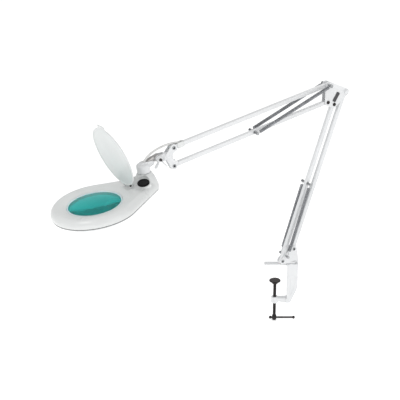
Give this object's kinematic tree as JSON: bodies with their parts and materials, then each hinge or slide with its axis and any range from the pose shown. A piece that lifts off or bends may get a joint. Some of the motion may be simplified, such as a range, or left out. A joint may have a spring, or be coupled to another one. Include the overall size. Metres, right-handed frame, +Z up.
{
  "type": "magnifying lamp",
  "caption": "Clamp-on magnifying lamp: round lens head with light ring, flip-up lid and rocker switch on a sprung double-parallelogram arm with swivel table clamp.",
  "frame": {"origin": "centre of the upper jaw's clamping face, on the clamp screw axis; this face rests on the table top", "axes": "+Z up along the clamp screw and the arm swivel, -X out of the clamp mouth towards the table, +Y to the far side of the clamp; at rest the arm plane stands 29 degrees round from +X towards +Y"},
  "size_m": [0.6784, 0.462, 0.6226],
  "materials": {
    "white_paint": "smooth white powder coat",
    "white_plastic": "semi-gloss moulded ABS",
    "grey_nylon": "natural nylon",
    "dark_steel": "oiled dark steel",
    "zinc_steel": "bright zinc plate",
    "spring_steel": "plated spring wire",
    "chrome": "polished",
    "black_plastic": "satin black",
    "dark_nylon": "dark grey nylon",
    "lens_glass": "clear optical glass with a green tint",
    "diffuser_plastic": "opal acrylic",
    "board": "solder-masked circuit board",
    "led": "white light-emitting diode package",
    "cable_white": "white PVC sheath"
  },
  "bodies": {
    "clamp": {"clamp_frame": "white_paint", "swivel_bush": "grey_nylon"},
    "pad": {"pressure_pad": "dark_steel"},
    "screw": {"clamp_screw": "dark_steel"},
    "tommy_bar": {"tommy_bar": "dark_steel", "tommy_bar_balls": "dark_steel"},
    "base_bracket": {"base_bracket": "white_paint", "swivel_spigot": "zinc_steel", "thrust_washer": "grey_nylon", "base_pins": "dark_steel", "base_spring_studs": "zinc_steel"},
    "lower_front": {"lower_front_tube": "white_paint", "lower_front_plugs": "grey_nylon", "lower_spring_rod": "zinc_steel"},
    "lower_rear": {"lower_rear_tube": "white_paint", "lower_rear_plugs": "grey_nylon"},
    "lower_springs": {"lower_spring_near": "spring_steel", "lower_spring_far": "spring_steel"},
    "lower_spring_ends": {"lower_spring_eyes": "spring_steel"},
    "elbow": {"elbow_plates": "white_paint", "elbow_inserts": "dark_nylon", "elbow_pins": "dark_steel", "elbow_spring_pin": "zinc_steel", "elbow_spacer": "zinc_steel", "elbow_bolt": "white_paint"},
    "elbow_nut": {"elbow_wing_nut": "white_paint"},
    "upper_bottom": {"upper_bottom_tube": "white_paint", "upper_bottom_plugs": "grey_nylon", "upper_spring_rod": "zinc_steel"},
    "upper_top": {"upper_top_tube": "white_paint", "upper_top_plugs": "grey_nylon", "cable_sleeve": "white_plastic"},
    "upper_springs": {"upper_spring_near": "spring_steel", "upper_spring_far": "spring_steel"},
    "upper_spring_ends": {"upper_spring_eyes": "spring_steel"},
    "head_bracket": {"head_bracket": "white_paint", "head_bracket_pins": "zinc_steel", "head_cable": "cable_white"},
    "fork": {"roll_fork": "white_paint", "roll_axle": "zinc_steel", "tilt_bolt": "dark_steel"},
    "head_nut": {"head_wing_nut": "white_paint"},
    "knuckle": {"knuckle_link": "chrome", "neck_socket": "white_paint"},
    "head": {"housing_top": "white_plastic", "housing_bottom": "white_plastic", "housing_screws": "zinc_steel", "lens": "lens_glass", "lens_ring": "white_plastic", "diffuser": "diffuser_plastic", "led_board": "board", "leds": "led", "driver_board": "board", "switch_bezel": "black_plastic", "neck_post": "zinc_steel", "lid_hinge_lugs": "white_plastic", "lid_hinge_pin": "dark_steel"},
    "lid": {"lid": "white_plastic"},
    "rocker": {"switch_rocker": "black_plastic"}
  },
  "joints": [
    {"name": "screw_feed", "type": "slide", "parent": "clamp", "child": "pad", "axis": [0, 0, 1], "range_m": [-0.026, 0.032]},
    {"name": "screw_turn", "type": "hinge", "parent": "pad", "child": "screw", "pos_m": [0, 0, -0.1], "axis": [0, 0, 1], "range_deg": [-7545.6, 9273.6]},
    {"name": "bar_slide", "type": "slide", "parent": "screw", "child": "tommy_bar", "axis": [1, 0, 0], "range_m": [-0.0411, 0.0012]},
    {"name": "base_swivel", "type": "hinge", "parent": "clamp", "child": "base_bracket", "pos_m": [0.0415, 0, 0.005], "axis": [0, 0, 1], "continuous": true},
    {"name": "lower_arm_tilt", "type": "hinge", "parent": "base_bracket", "child": "lower_front", "pos_m": [0.01395, -0.01527, 0.0183], "axis": [0.4848, -0.8746, 0], "range_deg": [-12, 50]},
    {"name": "lower_rear_tilt", "type": "hinge", "parent": "base_bracket", "child": "lower_rear", "pos_m": [0.04237, 0.00048, 0.0453], "axis": [0.4848, -0.8746, 0], "range_deg": [-12, 50]},
    {"name": "elbow_level", "type": "hinge", "parent": "lower_front", "child": "elbow", "pos_m": [0.13335, 0.05091, 0.40596], "axis": [0.4848, -0.8746, 0], "range_deg": [-50, 12]},
    {"name": "lower_spring_swing", "type": "hinge", "parent": "base_bracket", "child": "lower_springs", "pos_m": [0.02156, -0.01105, 0.0318], "axis": [0.4848, -0.8746, 0], "range_deg": [-13.8, 57.5]},
    {"name": "lower_spring_stretch", "type": "slide", "parent": "lower_springs", "child": "lower_spring_ends", "axis": [0.2744, 0.1521, 0.9495], "range_m": [-0.006, 0.016], "deforming": ["lower_spring_near", "lower_spring_far", "lower_spring_eyes"]},
    {"name": "upper_arm_tilt", "type": "hinge", "parent": "elbow", "child": "upper_top", "pos_m": [0.11743, 0.04209, 0.45556], "axis": [-0.4848, 0.8746, 0], "range_deg": [-20, 30]},
    {"name": "upper_bottom_tilt", "type": "hinge", "parent": "elbow", "child": "upper_bottom", "pos_m": [0.11743, 0.04209, 0.41316], "axis": [-0.4848, 0.8746, 0], "range_deg": [-20, 30]},
    {"name": "head_bracket_level", "type": "hinge", "parent": "upper_top", "child": "head_bracket", "pos_m": [-0.24305, -0.15773, 0.36495], "axis": [-0.4848, 0.8746, 0], "range_deg": [-30, 20]},
    {"name": "upper_spring_swing", "type": "hinge", "parent": "elbow", "child": "upper_springs", "pos_m": [0.11743, 0.04209, 0.45556], "axis": [-0.4848, 0.8746, 0], "range_deg": [-23, 34.5]},
    {"name": "upper_spring_stretch", "type": "slide", "parent": "upper_springs", "child": "upper_spring_ends", "axis": [-0.8036, -0.4454, -0.3947], "range_m": [-0.03, 0.022], "deforming": ["upper_spring_near", "upper_spring_far", "upper_spring_eyes"]},
    {"name": "elbow_nut_turn", "type": "hinge", "parent": "elbow", "child": "elbow_nut", "pos_m": [0.15596, 0.07717, 0.43296], "axis": [-0.4848, 0.8746, 0], "continuous": true},
    {"name": "head_roll", "type": "hinge", "parent": "head_bracket", "child": "fork", "pos_m": [-0.26505, -0.16993, 0.3469], "axis": [0.8746, 0.4848, 0], "range_deg": [-60, 60]},
    {"name": "head_nut_turn", "type": "hinge", "parent": "fork", "child": "head_nut", "pos_m": [-0.27012, -0.1876, 0.3469], "axis": [0.4848, -0.8746, 0], "continuous": true},
    {"name": "head_tilt", "type": "hinge", "parent": "fork", "child": "knuckle", "pos_m": [-0.27642, -0.17623, 0.3469], "axis": [-0.4848, 0.8746, 0], "range_deg": [-35, 30], "deforming": ["head_cable"]},
    {"name": "head_turn", "type": "hinge", "parent": "knuckle", "child": "head", "pos_m": [-0.30268, -0.19078, 0.29334], "axis": [-0.1217, -0.0675, 0.9903], "range_deg": [-60, 60]},
    {"name": "lid_flip", "type": "hinge", "parent": "head", "child": "lid", "pos_m": [-0.34023, -0.21787, 0.29951], "axis": [-0.5867, 0.8096, -0.017], "range_deg": [-78, 12]},
    {"name": "switch_rock", "type": "hinge", "parent": "head", "child": "rocker", "pos_m": [-0.30454, -0.21915, 0.30078], "axis": [0.0519, 0.9417, 0.3326], "range_deg": [-5, 5]}
  ],
  "couplings": [
    {"joint": "screw_turn", "follows": "screw_feed", "rad_per_m": 5026.5},
    {"joint": "lower_rear_tilt", "follows": "lower_arm_tilt", "ratio": 1},
    {"joint": "elbow_level", "follows": "lower_arm_tilt", "ratio": -1},
    {"joint": "lower_spring_swing", "follows": "lower_arm_tilt", "ratio": 1.0666},
    {"joint": "lower_spring_stretch", "follows": "lower_arm_tilt", "m_per_rad": 0.0088428},
    {"joint": "upper_bottom_tilt", "follows": "upper_arm_tilt", "ratio": 1},
    {"joint": "head_bracket_level", "follows": "upper_arm_tilt", "ratio": -1},
    {"joint": "upper_spring_swing", "follows": "upper_arm_tilt", "ratio": 0.94574},
    {"joint": "upper_spring_stretch", "follows": "upper_arm_tilt", "m_per_rad": -0.040017}
  ]
}
